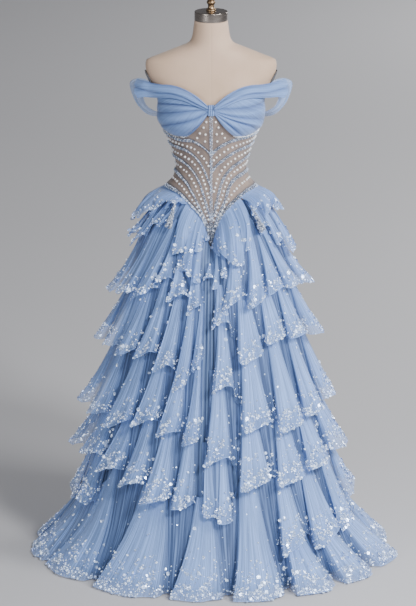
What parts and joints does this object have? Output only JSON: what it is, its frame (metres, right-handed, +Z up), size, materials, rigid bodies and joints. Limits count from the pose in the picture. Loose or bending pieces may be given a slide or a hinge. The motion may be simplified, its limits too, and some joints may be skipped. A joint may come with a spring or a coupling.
{
  "type": "a-line evening dress on a dress form",
  "caption": "Off-shoulder a-line evening dress with a beaded mesh bodice and tiered tulle frills, worn by a limbless dress form on a pole stand.",
  "frame": {"origin": "the floor, at the middle of the stand's round base", "axes": "+Z up along the form's pole; the dress's front faces -Y; +X is at the viewer's right, which is the wearer's left"},
  "size_m": [1.037, 1.0242, 1.6454],
  "materials": {
    "form_linen": "plain woven cover, matt",
    "cap_steel": "brushed",
    "finial_bronze": "dark turned bronze",
    "stand_iron": "dark paint",
    "bodice_mesh": "sheer nude mesh with beaded cords",
    "tulle_blue": "powder-blue tulle with sequinned hems",
    "underskirt_blue": "deeper blue pleated tulle",
    "hip_beads": "clustered pale beads"
  },
  "bodies": {
    "root": {"form_torso": "form_linen", "neck_cap": "cap_steel", "finial": "finial_bronze", "stand_pole": "stand_iron", "stand_base": "stand_iron", "arm_plate_left": "stand_iron", "arm_plate_right": "stand_iron", "bodice_front_left": "bodice_mesh", "bodice_front_right": "bodice_mesh", "bodice_back_left": "bodice_mesh", "bodice_back_right": "bodice_mesh", "back_placket": "bodice_mesh", "cup_left": "tulle_blue", "cup_right": "tulle_blue", "centre_knot": "tulle_blue", "sleeve_left": "tulle_blue", "sleeve_right": "tulle_blue", "underskirt": "underskirt_blue", "front_swag_left": "tulle_blue", "front_swag_right": "tulle_blue", "swag_tail_left": "tulle_blue", "swag_tail_right": "tulle_blue", "hip_drape_left": "tulle_blue", "hip_drape_right": "tulle_blue", "hip_frill_left": "tulle_blue", "hip_frill_right": "tulle_blue", "hip_clasp_left": "hip_beads", "hip_clasp_right": "hip_beads", "tier_1": "tulle_blue", "tier_2": "tulle_blue", "tier_3": "tulle_blue", "tier_4": "tulle_blue", "tier_5": "tulle_blue", "tier_5_front": "tulle_blue", "tier_6": "tulle_blue"}
  },
  "joints": []
}
